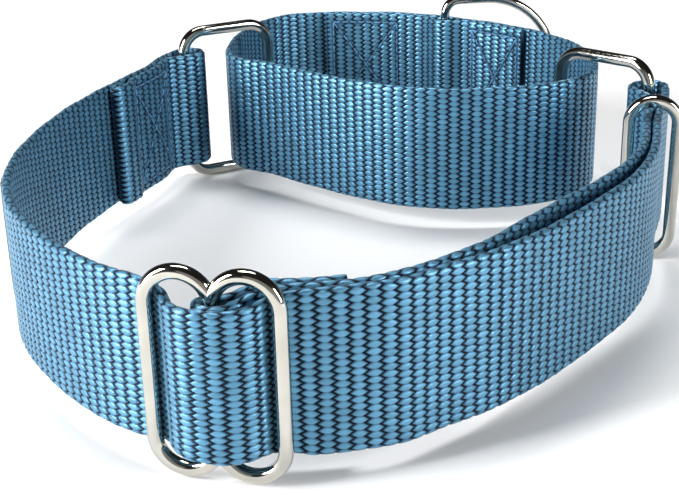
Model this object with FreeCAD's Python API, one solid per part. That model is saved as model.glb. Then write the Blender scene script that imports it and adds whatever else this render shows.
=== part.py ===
"""Martingale collar: neck strap, control loop, rings, slide and D-ring, each piece its own solid."""

import FreeCAD
import Part

import os
from math import cos, pi, radians, sin

Vector = FreeCAD.Vector
UP = Vector(0, 0, 1)

# ---- driving dimensions, millimetres ----
WEB_WIDTH = 38.1  # 1.5 inch webbing
WEB_THICK = 2.4
LAYER_GAP = 0.15  # between two layers that are sewn together
RING_WIRE_R = 1.75  # left and right rings
RING_WIDTH = 34.0
RING_HEIGHT = 52.0
RING_CORNER_R = 7.0
SLIDE_WIRE_R = 1.65
SLIDE_HEIGHT = 48.6
SLIDE_LOOP_R = 7.2  # each of the slide's two joined loops has round ends of this radius
KEEPER_WIRE_R = 1.65
KEEPER_WIDTH = 16.3
KEEPER_HEIGHT = 50.8
KEEPER_LEAN = 9.0  # degrees, top towards the slide
D_WIRE_R = 1.6
D_HEIGHT = 52.0
D_STRAIGHT = 15.0  # from the D-ring's bar to the start of its round end
D_CORNER_R = 5.0
FOLD_INNER_R = 3.6  # webbing folded round a ring's bar
BAR_SLACK = 1.6  # how far each fold's centre stands off its bar
BAR_FIT = 0.2  # between the slide's centre bar and the webbing sewn round it
HUMP_SQUEEZE = 1.8  # webbing is narrowed a little at each edge where it passes through the slide
PATCH_THICK = 1.4
PATCH_MARGIN = 2.6
HEM_THICK = 4.6
THREAD = 0.5
THREAD_PROUD = 0.3
SEAM_INSET = 3.2  # of a stitched box from the webbing's edges
HEADING_LEADS = (0.5, 1.5)  # straight starts of a curve, as distances from its end
JOIN_GAP = 0.12  # between a fold and the next stretch of webbing
SEWN_SQUEEZE = 2.4  # webbing is drawn in at each edge where it wraps the slide's centre bar

# ---- heights ----
RING_MID = RING_HEIGHT / 2
WEB_LOW = RING_MID - WEB_WIDTH / 2 - 1.0
WEB_HIGH = WEB_LOW + WEB_WIDTH
SLIDE_MID = SLIDE_HEIGHT / 2 + 0.5
KEEPER_MID = KEEPER_HEIGHT / 2 + 0.3

HALF_WEB = WEB_THICK / 2
FOLD_MID_R = FOLD_INNER_R + HALF_WEB
LAYER_STEP = WEB_THICK + LAYER_GAP

# ---- plan of the collar as it stands, seen from above ----
FRONT_CENTRE = Vector(-10.0, -59.0, 0)  # the front stretch is an arc round this point
FRONT_R = 60.0
SLIDE_TURN = -15.0  # degrees round the front arc from straight ahead
SLIDE_R = FRONT_R + 1.6  # the slide's own plane
LEFT_RING_AT = Vector(-36.5, 83.0, 0)
LEFT_RING_TURN = 27.0
RIGHT_RING_AT = Vector(81.0, 31.0, 0)
RIGHT_RING_TURN = -43.0
LEFT_FOLD_TURN = 56.6  # heading of the strap where it meets the left ring
RIGHT_FOLD_TURN = 81.0
KEEPER_AT = Vector(86.8, -9.0, 0)
KEEPER_TURN = -11.0
D_NEAR = Vector(41.0, 118.0, 0)
D_TURN = 5.0

LEFT_SIDE = [(-60.8, 57.0), (-66.0, 45.5), (-72.0, 31.0), (-77.6, 13.0), (-82.0, -7.0)]
LEFT_SIDE += [(-83.6, -27.0), (-82.0, -47.5), (-76.4, -66.3), (-67.0, -83.4)]
RIGHT_SIDE = [(19.8, -109.8), (28.9, -104.1), (38.3, -96.7), (48.9, -85.8), (60.3, -72.2)]
RIGHT_SIDE += [(69.3, -60.3), (77.0, -46.2), (83.6, -27.3), (88.1, -9.0)]
CONTROL = [(-24.0, 61.8), (-12.8, 51.8), (-1.1, 41.6), (10.9, 32.0), (23.5, 25.6)]
CONTROL += [(37.0, 23.2), (52.2, 23.7), (66.6, 27.9), (77.2, 37.4)]
CONTROL += [(82.0, 51.5), (81.5, 67.0), (76.0, 84.0), (66.5, 97.5), (54.0, 110.0), (38.0, 121.5)]
CONTROL += [(19.5, 129.0), (0.0, 132.0), (-15.0, 129.5), (-26.0, 120.0), (-32.5, 104.0)]
CONTROL += [(-35.0, 86.0), (-32.6, 69.0)]

# ---- stretches, as distances along the webbing or degrees round the front arc ----
LEFT_ARC = (-30.0, -18.0)
RIGHT_ARC = (24.0, 36.0)
FLAP_FROM = 13.0
FLAP_END = 40.0
FLAP_EASE = 0.3  # extra gap where the flap first comes to lie on the strap
HEM_LONG = 8.5
PATCH_FROM = 82.0
PATCH_LONG = 45.0
SEAM_FROM = 15.0
SEAM_LONG = 22.0
INNER_BULGE = 4.2  # extra gap halfway along the doubled front
INNER_FROM = 14.0
INNER_EASE = 0.9  # extra gap where the inner layer first comes to lie on the strap
BULGE_FROM = 46.0  # the two layers lie together up to here, through the keeper ring
SEWN_LONG = 30.0  # degrees of the front arc covered by the end sewn round the slide's bar
HUMP = [(-15.5, 59.95), (-13.0, 60.1), (-10.5, 61.3), (-8.3, 63.7), (-5.5, 66.4), (-2.8, 67.5)]
SEWN_FRONT = [(4.5, 62.5), (8.0, 59.4), (12.0, 57.7), (16.0, 57.25), (23.0, 57.2)]
SEWN_BACK = [(4.0, 57.3), (8.0, 55.4), (12.0, 54.8), (16.0, 54.65), (22.0, 54.65)]
OVERLAP_RIGHT = 34.0  # reach of the control loop's second layer each side of the D-ring's bar
OVERLAP_LEFT = 47.0
POCKET_HALF = 10.0
POCKET_DEPTH = 2 * (HALF_WEB + D_WIRE_R + 0.35)


def heading(turn):
    return Vector(cos(radians(turn)), sin(radians(turn)), 0)


def right_of(direction):
    return Vector(direction.y, -direction.x, 0)


def flat(points):
    return [Vector(x, y, 0) for x, y in points]


def polar(angle, radius):
    """A point given by degrees round the front arc from the slide, and distance from its centre."""
    return FRONT_CENTRE + heading(SLIDE_TURN - 90 + angle) * radius


def at_distance(curve, distance):
    first = curve.FirstParameter
    return first if distance < 1e-6 else curve.parameterAtDistance(distance, first)


def place(curve, distance, offset=0.0):
    """The point at a distance along a curve, moved to its right by offset."""
    u = at_distance(curve, distance)
    return curve.value(u) + right_of(curve.tangent(u)[0]) * offset


def spline(points, start_heading=None, end_heading=None):
    """A smooth curve through points; short leads at each end set its heading there."""
    if start_heading is not None:
        first = [points[0] + start_heading * lead for lead in HEADING_LEADS]
        last = [points[-1] - end_heading * lead for lead in reversed(HEADING_LEADS)]
        points = [points[0]] + first + points[1:-1] + last + [points[-1]]
    curve = Part.BSplineCurve()
    curve.interpolate(Points=points)
    return curve


def side_line(curve, start, end, offset, z):
    count = max(3, int((end - start) / 3.0))
    marks = [start + (end - start) * i / count for i in range(count + 1)]
    return spline([place(curve, mark, offset) + UP * z for mark in marks]).toShape()


def ribbon(curve, start, end, offset=0.0, thick=WEB_THICK, low=WEB_LOW, high=WEB_HIGH):
    """A stretch of webbing standing on edge, between two distances along a curve."""
    right = side_line(curve, start, end, offset + thick / 2, low)
    left = side_line(curve, start, end, offset - thick / 2, low)
    first = Part.makeLine(right.Vertexes[0].Point, left.Vertexes[0].Point)
    last = Part.makeLine(left.Vertexes[-1].Point, right.Vertexes[-1].Point)
    outline = Part.Wire(Part.__sortEdges__([right, last, left, first]))
    return Part.Face(outline).extrude(UP * (high - low))


def seam_box(curve, start, end, offset):
    """Four lines of stitching round a rectangle, lying on one face of the webbing."""
    low = WEB_LOW + SEAM_INSET
    high = WEB_HIGH - SEAM_INSET
    lines = [ribbon(curve, start, end, offset, THREAD_PROUD, z, z + THREAD) for z in (low, high)]
    for mark in (start, end - THREAD):
        lines.append(ribbon(curve, mark, mark + THREAD, offset, THREAD_PROUD, low + THREAD, high))
    return Part.makeCompound(lines)


def fold(centre, turn, inner_radius=FOLD_INNER_R, squeeze=0.0):
    """A half turn of webbing round a bar, bulging towards the heading turn."""
    wide = WEB_WIDTH - 2 * squeeze
    foot = UP * (WEB_LOW + squeeze)
    outer = Part.makeCylinder(inner_radius + WEB_THICK, wide, foot, UP, 180)
    inner = Part.makeCylinder(inner_radius, wide, foot, UP, 360)
    bend = outer.cut(inner)
    bend.rotate(Vector(0, 0, 0), UP, turn - 90)
    bend.translate(centre)
    return bend


def bar(x1, z1, x2, z2, wire):
    start = Vector(x1, 0, z1)
    reach = Vector(x2, 0, z2) - start
    return Part.makeCylinder(wire, reach.Length, start, reach)


def bend(x, z, radius, wire, start, sweep):
    """Round wire bent round (x, z) in the XZ plane, angles counted from +X towards +Z."""
    disc = Part.Face(Part.Wire(Part.makeCircle(wire, Vector(radius, 0, 0), UP)))
    arc = disc.revolve(Vector(0, 0, 0), Vector(0, -1, 0), sweep)
    arc.rotate(Vector(0, 0, 0), Vector(0, -1, 0), start)
    arc.translate(Vector(x, 0, z))
    return arc


def joined(pieces):
    return pieces[0].multiFuse(pieces[1:]).removeSplitter()


def set_down(shape, at, turn, mid_height):
    shape.rotate(Vector(0, 0, 0), UP, turn)
    shape.translate(at + UP * mid_height)
    return shape


def rounded_ring(width, height, corner, wire):
    """A welded ring with straight sides and round corners, standing in the XZ plane."""
    x = width / 2 - wire
    z = height / 2 - wire
    inner_x = x - corner
    inner_z = z - corner
    pieces = [bar(side * x, -inner_z, side * x, inner_z, wire) for side in (-1, 1)]
    if inner_x > 0.01:
        pieces += [bar(-inner_x, side * z, inner_x, side * z, wire) for side in (-1, 1)]
    corners = [(inner_x, inner_z, 0), (-inner_x, inner_z, 90), (-inner_x, -inner_z, 180)]
    corners.append((inner_x, -inner_z, 270))
    pieces += [bend(cx, cz, corner, wire, start, 90) for cx, cz, start in corners]
    return joined(pieces)


def slide_frame():
    """Two round-ended loops side by side, which share the centre bar."""
    straight = SLIDE_HEIGHT / 2 - SLIDE_WIRE_R - SLIDE_LOOP_R
    reach = 2 * SLIDE_LOOP_R
    pieces = [bar(x, -straight, x, straight, SLIDE_WIRE_R) for x in (-reach, 0, reach)]
    for x in (-SLIDE_LOOP_R, SLIDE_LOOP_R):
        pieces.append(bend(x, straight, SLIDE_LOOP_R, SLIDE_WIRE_R, 0, 180))
        pieces.append(bend(x, -straight, SLIDE_LOOP_R, SLIDE_WIRE_R, 180, 180))
    return set_down(joined(pieces), polar(0, SLIDE_R), SLIDE_TURN, SLIDE_MID)


def rectangular_ring(at, turn):
    ring = rounded_ring(RING_WIDTH, RING_HEIGHT, RING_CORNER_R, RING_WIRE_R)
    return set_down(ring, at, turn, RING_MID)


def keeper_ring():
    corner = KEEPER_WIDTH / 2 - KEEPER_WIRE_R
    ring = rounded_ring(KEEPER_WIDTH, KEEPER_HEIGHT, corner, KEEPER_WIRE_R)
    ring.rotate(Vector(0, 0, 0), Vector(1, 0, 0), KEEPER_LEAN)
    return set_down(ring, KEEPER_AT, KEEPER_TURN, KEEPER_MID)


def d_ring(at):
    z = D_HEIGHT / 2 - D_WIRE_R
    inner_z = z - D_CORNER_R
    pieces = [bar(0, -inner_z, 0, inner_z, D_WIRE_R)]
    pieces += [bar(D_CORNER_R, side * z, D_STRAIGHT, side * z, D_WIRE_R) for side in (-1, 1)]
    pieces.append(bend(D_CORNER_R, inner_z, D_CORNER_R, D_WIRE_R, 90, 90))
    pieces.append(bend(D_CORNER_R, -inner_z, D_CORNER_R, D_WIRE_R, 180, 90))
    pieces.append(bend(D_STRAIGHT, 0, z, D_WIRE_R, -90, 180))
    return set_down(joined(pieces), at, D_TURN, D_HEIGHT / 2)


def stretches(names, curve, cuts, **size):
    """One node for each stretch between neighbouring cuts."""
    return {name: ribbon(curve, a, b, **size) for name, a, b in zip(names, cuts[:-1], cuts[1:])}


def evenly(start, end, count):
    return [start + (end - start) * i / count for i in range(count + 1)]


def neck_strap():
    parts = {}
    half = RING_WIDTH / 2 - RING_WIRE_R
    left_bar = LEFT_RING_AT - heading(LEFT_RING_TURN) * half
    right_bar = RIGHT_RING_AT + heading(RIGHT_RING_TURN) * half
    left_way = heading(LEFT_FOLD_TURN)
    right_way = heading(RIGHT_FOLD_TURN)
    left_fold = left_bar + left_way * BAR_SLACK
    right_fold = right_bar + right_way * BAR_SLACK
    parts["strap_fold_left"] = fold(left_fold, LEFT_FOLD_TURN)
    parts["strap_fold_right"] = fold(right_fold, RIGHT_FOLD_TURN)

    arc = [polar(angle, FRONT_R) for angle in (LEFT_ARC[0], -24, LEFT_ARC[1])]
    start = left_fold - right_of(left_way) * FOLD_MID_R - left_way * JOIN_GAP
    left = spline([start] + flat(LEFT_SIDE) + arc, left_way * -1, heading(SLIDE_TURN + LEFT_ARC[1]))
    names = ["strap_left_" + str(i) for i in range(1, 7)]
    parts.update(stretches(names, left, evenly(0, left.length(), 6)))

    arc = [polar(angle, FRONT_R) for angle in (RIGHT_ARC[0], 30, RIGHT_ARC[1])]
    end = right_fold + right_of(right_way) * FOLD_MID_R - right_way * JOIN_GAP
    right = spline(arc + flat(RIGHT_SIDE) + [end], heading(SLIDE_TURN + RIGHT_ARC[0]), right_way)
    names = ["strap_right_" + str(i) for i in range(1, 7)]
    parts.update(stretches(names, right, evenly(0, right.length(), 6)))

    climb = [polar(LEFT_ARC[1], FRONT_R)] + [polar(angle, r) for angle, r in HUMP]
    crest = [polar(0, HUMP[-1][1] + 0.2)]
    drop = [polar(-angle, r) for angle, r in reversed(HUMP)] + [polar(19.5, FRONT_R)]
    over = spline(
        climb + crest + drop + [polar(RIGHT_ARC[0], FRONT_R)],
        heading(SLIDE_TURN + LEFT_ARC[1]),
        heading(SLIDE_TURN + RIGHT_ARC[0]),
    )
    squeezed = {"low": WEB_LOW + HUMP_SQUEEZE, "high": WEB_HIGH - HUMP_SQUEEZE}
    parts["strap_over_slide"] = ribbon(over, 0, over.length(), **squeezed)

    marks = evenly(FLAP_FROM, FLAP_END, 5)
    start = left_fold + right_of(left_way) * FOLD_MID_R - left_way * JOIN_GAP
    back = [place(left, mark, -LAYER_STEP - FLAP_EASE * 0.5 ** i) for i, mark in enumerate(marks)]
    flap = spline([start] + back, left_way * -1, left.tangent(at_distance(left, FLAP_END))[0])
    parts["strap_end_flap"] = ribbon(flap, 0, flap.length())
    hem_step = HALF_WEB + LAYER_GAP + HEM_THICK / 2
    hem_end = FLAP_END + 0.1 + HEM_LONG
    parts["strap_end_hem"] = ribbon(left, FLAP_END + 0.1, hem_end, -hem_step, HEM_THICK)
    seam_step = LAYER_STEP + FLAP_EASE / 2 + HALF_WEB + THREAD_PROUD
    parts["flap_stitching"] = seam_box(left, SEAM_FROM, SEAM_FROM + SEAM_LONG, -seam_step)

    patch_step = HALF_WEB + PATCH_THICK / 2 + 0.05
    patch_end = PATCH_FROM + PATCH_LONG
    low = WEB_LOW + PATCH_MARGIN
    high = WEB_HIGH - PATCH_MARGIN
    parts["blank_patch"] = ribbon(left, PATCH_FROM, patch_end, patch_step, PATCH_THICK, low, high)

    parts.update(inner_layer(right, right_fold, right_way))
    return parts


def inner_layer(right, right_fold, right_way):
    """The doubled part of the strap, from the right ring back towards the slide."""
    sewn_end = pi / 180 * FRONT_R * (SEWN_LONG - RIGHT_ARC[0])
    whole = right.length()
    reach = whole - sewn_end
    count = 16
    points = [right_fold - right_of(right_way) * FOLD_MID_R - right_way * JOIN_GAP]
    for i in range(count + 1):
        back = INNER_FROM + (reach - INNER_FROM) * i / count
        share = max(0.0, (back - BULGE_FROM) / (reach - BULGE_FROM))
        gap = LAYER_STEP + 0.2 + INNER_EASE * 0.4**i + INNER_BULGE * sin(pi * share) ** 2
        points.append(place(right, whole - back, -gap))
    last = right.tangent(at_distance(right, sewn_end))[0] * -1
    inner = spline(points, right_way * -1, last)
    names = ["strap_inner_" + str(i) for i in range(1, 6)] + ["strap_inner_end"]
    long = inner.length()
    return stretches(names, inner, evenly(0, long - 24, 5) + [long])


def sewn_end():
    """The strap's inner end, sewn round the slide's centre bar."""
    middle = polar(0, SLIDE_R)
    out = heading(SLIDE_TURN - 90)
    way = heading(SLIDE_TURN)
    mid_r = SLIDE_WIRE_R + BAR_FIT + HALF_WEB
    bend_radius = SLIDE_WIRE_R + BAR_FIT
    parts = {"sewn_end_bend": fold(middle, SLIDE_TURN + 180, bend_radius, SEWN_SQUEEZE)}
    points = [middle + out * mid_r + way * JOIN_GAP] + [polar(a, r) for a, r in SEWN_FRONT]
    points.append(polar(SEWN_LONG - 0.3, SEWN_FRONT[-1][1]))
    front = spline(points, way, heading(SLIDE_TURN + SEWN_LONG))
    parts["sewn_end_front"] = ribbon(front, 0, front.length())
    points = [middle - out * mid_r + way * JOIN_GAP] + [polar(a, r) for a, r in SEWN_BACK]
    points.append(polar(SEWN_LONG - 2, SEWN_BACK[-1][1]))
    back = spline(points, way, heading(SLIDE_TURN + SEWN_LONG - 2))
    parts["sewn_end_back"] = ribbon(back, 0, back.length())
    step = HALF_WEB + THREAD_PROUD
    parts["sewn_end_stitching"] = seam_box(back, back.length() - 17, back.length() - 2, -step)
    return parts


def control_loop():
    """The closed loop of webbing through both rings, and the second layer that traps the D-ring."""
    curve = Part.BSplineCurve()
    curve.interpolate(Points=flat(CONTROL), PeriodicFlag=True)
    parts = {}
    whole = curve.length()
    bar_mark = curve.length(curve.FirstParameter, curve.parameter(D_NEAR))
    names = ["control_front_" + str(i) for i in range(1, 5)] + ["control_bend_right"]
    names += ["control_back_" + str(i) for i in range(1, 6)] + ["control_bend_left"]
    right_bend = (96.0, 134.0)
    left_bend = whole - 42.0
    cuts = evenly(0, right_bend[0], 4) + evenly(right_bend[1], left_bend, 5) + [whole]
    parts.update(stretches(names, curve, cuts))

    start = bar_mark - OVERLAP_RIGHT
    end = bar_mark + OVERLAP_LEFT
    points = []
    for mark in evenly(start, end, 40):
        away = abs(mark - bar_mark) / POCKET_HALF
        share = cos(pi / 2 * min(away, 1.0)) ** 2
        points.append(place(curve, mark, -LAYER_STEP - (POCKET_DEPTH - LAYER_STEP) * share))
    layer = spline(points)
    middle = layer.length(layer.FirstParameter, layer.parameter(place(curve, bar_mark, -POCKET_DEPTH)))
    half = POCKET_HALF + 1.5
    names = ["overlap_right", "overlap_pocket", "overlap_left"]
    cuts = [0, middle - half, middle + half, layer.length()]
    parts.update(stretches(names, layer, cuts))
    step = HALF_WEB + THREAD_PROUD
    parts["overlap_stitching_right"] = seam_box(layer, 2.0, middle - half - 0.5, -step)
    parts["overlap_stitching_left"] = seam_box(layer, middle + half + 8, layer.length() - 2, -step)
    bar_at = place(curve, bar_mark, -POCKET_DEPTH / 2)
    parts["d_ring"] = d_ring(bar_at)
    return parts, bar_at


def build():
    parts = neck_strap()
    parts.update(sewn_end())
    loop, bar_at = control_loop()
    parts.update(loop)
    parts["slide_frame"] = slide_frame()
    parts["keeper_ring"] = keeper_ring()
    parts["left_ring"] = rectangular_ring(LEFT_RING_AT, LEFT_RING_TURN)
    parts["right_ring"] = rectangular_ring(RIGHT_RING_AT, RIGHT_RING_TURN)
    whole = Part.makeCompound(list(parts.values())).optimalBoundingBox(False, False)
    shift = Vector(-whole.Center.x, -whole.Center.y, -whole.ZMin)
    os.makedirs("parts", exist_ok=True)
    for name, shape in parts.items():
        shape.translate(shift)
        shape.exportStep("parts/" + name + ".step")
    half = RING_WIDTH / 2 - RING_WIRE_R
    places = {
        "front arc centre": FRONT_CENTRE,
        "left ring bar": LEFT_RING_AT - heading(LEFT_RING_TURN) * half,
        "right ring bar": RIGHT_RING_AT + heading(RIGHT_RING_TURN) * half,
        "keeper": KEEPER_AT,
        "D-ring bar": bar_at,
    }
    for name, at in places.items():
        moved = at + shift
        print(name, round(moved.x, 3), round(moved.y, 3))
    print("size", whole.XLength, whole.YLength, whole.ZLength, "shift", shift)


build()
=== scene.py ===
"""Martingale collar: woven webbing, nickel rings, stitching and a blank patch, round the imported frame."""

from math import cos, pi, radians, sin

import bpy
import numpy as np
from mathutils import Matrix, Vector


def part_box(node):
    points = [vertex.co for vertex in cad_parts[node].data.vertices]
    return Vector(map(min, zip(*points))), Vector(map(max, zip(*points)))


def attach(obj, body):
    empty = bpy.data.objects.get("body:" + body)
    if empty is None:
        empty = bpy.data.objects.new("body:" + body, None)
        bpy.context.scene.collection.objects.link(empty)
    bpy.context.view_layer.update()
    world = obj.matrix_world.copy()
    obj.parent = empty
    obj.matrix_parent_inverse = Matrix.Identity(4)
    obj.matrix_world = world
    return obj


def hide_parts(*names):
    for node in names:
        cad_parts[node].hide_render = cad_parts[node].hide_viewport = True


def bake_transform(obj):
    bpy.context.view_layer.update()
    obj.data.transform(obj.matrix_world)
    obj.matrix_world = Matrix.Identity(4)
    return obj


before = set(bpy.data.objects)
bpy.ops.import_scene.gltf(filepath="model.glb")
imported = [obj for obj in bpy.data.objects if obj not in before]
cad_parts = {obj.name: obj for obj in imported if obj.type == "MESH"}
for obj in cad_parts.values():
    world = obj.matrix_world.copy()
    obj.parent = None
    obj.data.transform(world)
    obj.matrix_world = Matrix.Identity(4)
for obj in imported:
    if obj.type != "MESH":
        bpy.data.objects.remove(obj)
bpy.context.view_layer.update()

MM = 0.001
rng = np.random.default_rng(7)

# ---- sizes in millimetres, in the collar's plan as part.py lays it out ----
WEB_WIDTH = 38.1
WEB_THICK = 2.4
LAYER_STEP = 2.55
WEB_LOW = 5.95
WEB_HIGH = WEB_LOW + WEB_WIDTH
WEB_MID = 25.0
HALF_WIDTH = 19.0
RING_WIDTH = 34.0
RING_HEIGHT = 52.0
RING_WIRE_R = 1.75
RING_CORNER_R = 7.0
SLIDE_WIRE_R = 1.65
SLIDE_HEIGHT = 48.6
SLIDE_LOOP_R = 7.2
SLIDE_MID = 24.8
SLIDE_SECTION = 2.2  # how square the slide's wire is: 2 is round
KEEPER_WIRE_R = 1.65
KEEPER_WIDTH = 16.3
KEEPER_HEIGHT = 50.8
KEEPER_LEAN = 9.0
KEEPER_MID = 25.7
D_WIRE_R = 1.6
D_HEIGHT = 52.0
D_STRAIGHT = 15.0
D_CORNER_R = 5.0
D_TURN = 5.0
FOLD_R = 4.8  # middle of the webbing where it folds round a ring
FOLD_SLACK = 1.6

FRONT_CENTRE = np.array([-10.0, -59.0])
FRONT_R = 60.0
SLIDE_TURN = -15.0
SLIDE_R = 61.6
LEFT_RING_AT = np.array([-36.5, 83.0])
LEFT_RING_TURN = 27.0
RIGHT_RING_AT = np.array([81.0, 31.0])
RIGHT_RING_TURN = -43.0
LEFT_FOLD_TURN = 56.6
RIGHT_FOLD_TURN = 81.0
KEEPER_AT = np.array([86.8, -9.0])
KEEPER_TURN = -11.0
D_NEAR = np.array([41.0, 118.0])

LEFT_SIDE = [(-60.8, 57.0), (-66.0, 45.5), (-72.0, 31.0), (-77.6, 13.0), (-82.0, -7.0)]
LEFT_SIDE += [(-83.6, -27.0), (-82.0, -47.5), (-76.4, -66.3), (-67.0, -83.4)]
RIGHT_SIDE = [(19.8, -109.8), (28.9, -104.1), (38.3, -96.7), (48.9, -85.8), (60.3, -72.2)]
RIGHT_SIDE += [(69.3, -60.3), (77.0, -46.2), (83.6, -27.3), (88.1, -9.0)]
CONTROL = [(-24.0, 61.8), (-12.8, 51.8), (-1.1, 41.6), (10.9, 32.0), (23.5, 25.6)]
CONTROL += [(37.0, 23.2), (52.2, 23.7), (66.6, 27.9), (77.2, 37.4)]
CONTROL += [(82.0, 51.5), (81.5, 67.0), (76.0, 84.0), (66.5, 97.5), (54.0, 110.0), (38.0, 121.5)]
CONTROL += [(19.5, 129.0), (0.0, 132.0), (-15.0, 129.5), (-26.0, 120.0), (-32.5, 104.0)]
CONTROL += [(-35.0, 86.0), (-32.6, 69.0)]
HUMP = [(-15.5, 59.95), (-13.0, 60.1), (-10.5, 61.3), (-8.3, 63.7), (-5.5, 66.4), (-2.8, 67.5)]
SEWN_FRONT = [(4.5, 62.5), (8.0, 59.4), (12.0, 57.7), (16.0, 57.25), (23.0, 57.2)]
SEWN_BACK = [(4.0, 57.3), (8.0, 55.4), (12.0, 54.8), (16.0, 54.65), (22.0, 54.65)]
SEWN_LONG = 30.0
OVERLAP_RIGHT = 34.0
OVERLAP_LEFT = 47.0
POCKET_HALF = 10.0
POCKET_DEPTH = 6.3

# ---- weave, in millimetres ----
RIB = 3.35  # from one rib to the next, along the webbing
FACE_YARNS = 22  # pairs of warp yarns across one face
EDGE_YARNS = 2
STEPS = 6  # points to each rib and each yarn
FACE_RELIEF = 1.0
TOOTH = 0.17  # how far the floats' pointed ends reach into the next rib, in ribs
TOOTH_SLOPE = 0.34
EDGE_RELIEF = 0.65
THREAD_R = 0.26


# ---- plan curves ----


def heading(turn):
    return np.array([cos(radians(turn)), sin(radians(turn))])


def right_of(way):
    return np.array([way[1], -way[0]])


def polar(angle, radius):
    """A point given by degrees round the front arc from the slide, and distance from its centre."""
    return FRONT_CENTRE + heading(SLIDE_TURN - 90 + angle) * radius


def smooth_line(points, start=None, end=None, closed=False):
    """Close points along a smooth curve through the given ones, with the headings given at its ends."""
    knots = np.array(points, float)
    if closed:
        knots = np.vstack([knots, knots[:1]])
    step = np.linalg.norm(np.diff(knots, axis=0), axis=1)
    slope = np.diff(knots, axis=0) / step[:, None]
    count = len(knots)
    a = np.zeros((count, count))
    b = np.zeros((count, 2))
    for i in range(1, count - 1):
        a[i, i - 1 : i + 2] = [step[i], 2 * (step[i - 1] + step[i]), step[i - 1]]
        b[i] = 3 * (step[i] * slope[i - 1] + step[i - 1] * slope[i])
    if closed:
        a[0, [0, 1, -2]] = [2 * (step[-1] + step[0]), step[-1], step[0]]
        b[0] = 3 * (step[0] * slope[-1] + step[-1] * slope[0])
        a[-1, [0, -1]] = [1, -1]
    else:
        a[0, [0, 1]] = [1, 0] if start is not None else [2, 1]
        b[0] = start if start is not None else 3 * slope[0]
        a[-1, [-1, -2]] = [1, 0] if end is not None else [2, 1]
        b[-1] = end if end is not None else 3 * slope[-1]
    way = np.linalg.solve(a, b)
    line = [knots[:1]]
    for i in range(count - 1):
        t = np.linspace(0, 1, max(3, int(step[i] / 0.3)) + 1)[1:, None]
        point = knots[i] * (1 + 2 * t) * (1 - t) ** 2 + knots[i + 1] * t * t * (3 - 2 * t)
        point += step[i] * (way[i] * t * (1 - t) ** 2 - way[i + 1] * t * t * (1 - t))
        line.append(point)
    return np.vstack(line)


def fold_line(centre, turn, radius=FOLD_R, reverse=False):
    """A half turn round a bar, from the side right of the heading to the side left of it."""
    turns = np.linspace(turn - 90, turn + 90, 41)
    if reverse:
        turns = turns[::-1]
    return np.array([centre + heading(t) * radius for t in turns])


class Run:
    """A length of webbing in plan: where its middle is at each distance along it."""

    def __init__(self, *lines):
        line = np.vstack(lines)
        apart = np.linalg.norm(np.diff(line, axis=0), axis=1) > 1e-5
        self.line = line[np.concatenate([[True], apart])]
        step = np.linalg.norm(np.diff(self.line, axis=0), axis=1)
        self.mark = np.concatenate([[0], np.cumsum(step)])
        self.way = np.gradient(self.line, self.mark, axis=0)
        self.long = self.mark[-1]

    def at(self, marks, offset=0.0):
        """Points at these distances, moved to the right of the run by offset."""
        marks = np.asarray(marks, float)
        point = np.stack([np.interp(marks, self.mark, self.line[:, k]) for k in (0, 1)], -1)
        way = np.stack([np.interp(marks, self.mark, self.way[:, k]) for k in (0, 1)], -1)
        way /= np.linalg.norm(way, axis=-1, keepdims=True)
        side = np.stack([way[..., 1], -way[..., 0]], -1)
        return point + side * np.asarray(offset, float)[..., None]

    def nearest(self, point):
        return self.mark[np.argmin(np.linalg.norm(self.line - point, axis=1))]


ring_low, ring_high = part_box("left_ring")
SHIFT = (ring_low + ring_high).xy / 2 / MM - Vector(LEFT_RING_AT)


def metres(points):
    """Points of the plan, in millimetres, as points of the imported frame, in metres."""
    points = np.array(points, float)
    points[..., 0] += SHIFT.x
    points[..., 1] += SHIFT.y
    return points * MM


# ---- the strap's one long run: hem, flap, left side, over the slide, right side, inner layer ----
half_ring = RING_WIDTH / 2 - RING_WIRE_R
left_bar = LEFT_RING_AT - heading(LEFT_RING_TURN) * half_ring
right_bar = RIGHT_RING_AT + heading(RIGHT_RING_TURN) * half_ring
left_way = heading(LEFT_FOLD_TURN)
right_way = heading(RIGHT_FOLD_TURN)
left_fold = left_bar + left_way * FOLD_SLACK
right_fold = right_bar + right_way * FOLD_SLACK

left_side = Run(
    smooth_line(
        [left_fold - right_of(left_way) * FOLD_R]
        + LEFT_SIDE
        + [polar(angle, FRONT_R) for angle in (-30, -24, -18)],
        -left_way,
        heading(SLIDE_TURN - 18),
    )
)
hump = smooth_line(
    [polar(-18, FRONT_R)]
    + [polar(angle, radius) for angle, radius in HUMP]
    + [polar(0, 67.7)]
    + [polar(-angle, radius) for angle, radius in HUMP[::-1]]
    + [polar(19.5, FRONT_R), polar(24, FRONT_R)],
    heading(SLIDE_TURN - 18),
    heading(SLIDE_TURN + 24),
)
right_side = Run(
    smooth_line(
        [polar(angle, FRONT_R) for angle in (24, 30, 36)]
        + RIGHT_SIDE
        + [right_fold + right_of(right_way) * FOLD_R],
        heading(SLIDE_TURN + 24),
        right_way,
    )
)
sewn_mark = radians(SEWN_LONG - 24) * FRONT_R
reach = right_side.long - sewn_mark
back_marks = 14 + (reach - 14) * np.arange(17) / 16
bulge = np.sin(pi * np.clip((back_marks - 46) / (reach - 46), 0, 1)) ** 2
inner_layer = smooth_line(
    np.vstack(
        [
            right_fold - right_of(right_way) * FOLD_R,
            right_side.at(right_side.long - back_marks, -(LAYER_STEP + 0.2 + 4.2 * bulge)),
        ]
    ),
    -right_way,
    -heading(SLIDE_TURN + SEWN_LONG),
)
slide_middle = polar(0, SLIDE_R)
slide_out = heading(SLIDE_TURN - 90)
SEWN_R = SLIDE_WIRE_R + 0.2 + WEB_THICK / 2
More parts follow.
